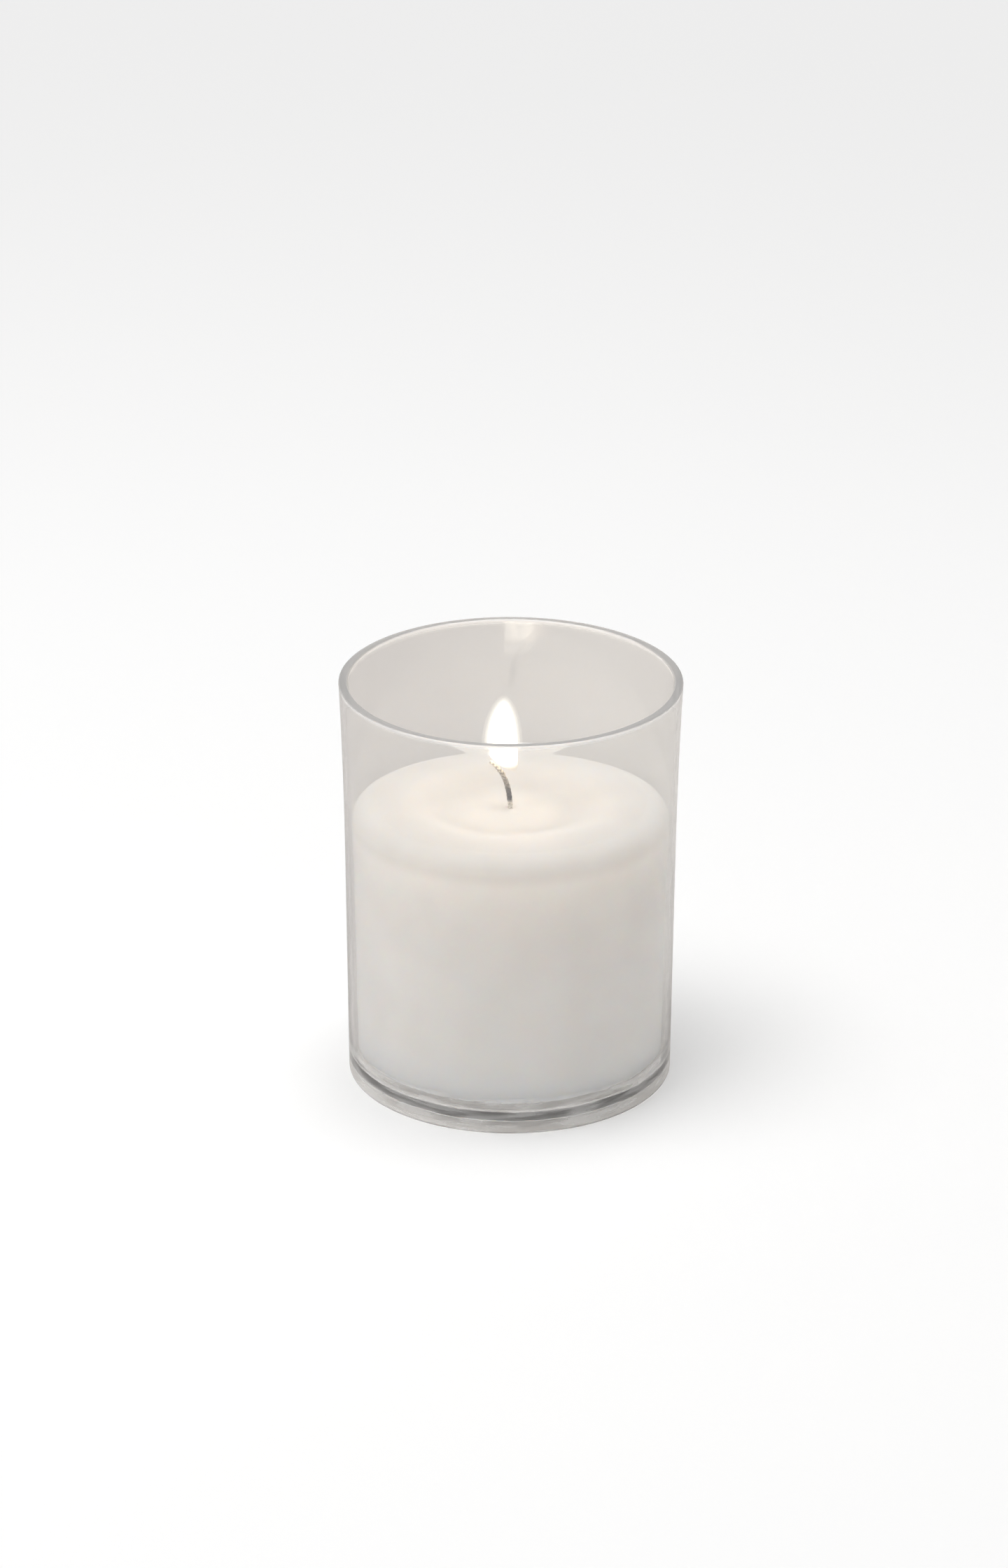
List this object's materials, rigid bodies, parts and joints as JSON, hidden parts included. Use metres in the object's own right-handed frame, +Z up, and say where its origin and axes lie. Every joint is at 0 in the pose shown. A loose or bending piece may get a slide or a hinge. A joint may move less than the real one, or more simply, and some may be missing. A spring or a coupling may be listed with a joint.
{
  "type": "candle cup",
  "caption": "Clear moulded candle cup with a foot ring and rounded rim, holding its own burning wax candle, which lifts straight out.",
  "frame": {"origin": "centre of the foot ring's underside, on the table", "axes": "+Z up along the cup's axis; the wick's free end bends towards -X; the pictured side faces -Y"},
  "size_m": [0.052, 0.052, 0.064],
  "materials": {
    "clear_plastic": "gloss",
    "white_wax": "satin",
    "wick_cotton": "matte",
    "tin_plate": "satin"
  },
  "bodies": {
    "cup": {"cup": "clear_plastic"},
    "candle": {"wax_body": "white_wax", "wick": "wick_cotton", "wick_sustainer": "tin_plate"}
  },
  "joints": [
    {"name": "candle_lift", "type": "slide", "parent": "cup", "child": "candle", "axis": [0, 0, 1], "range_m": [0, 0.068]}
  ]
}
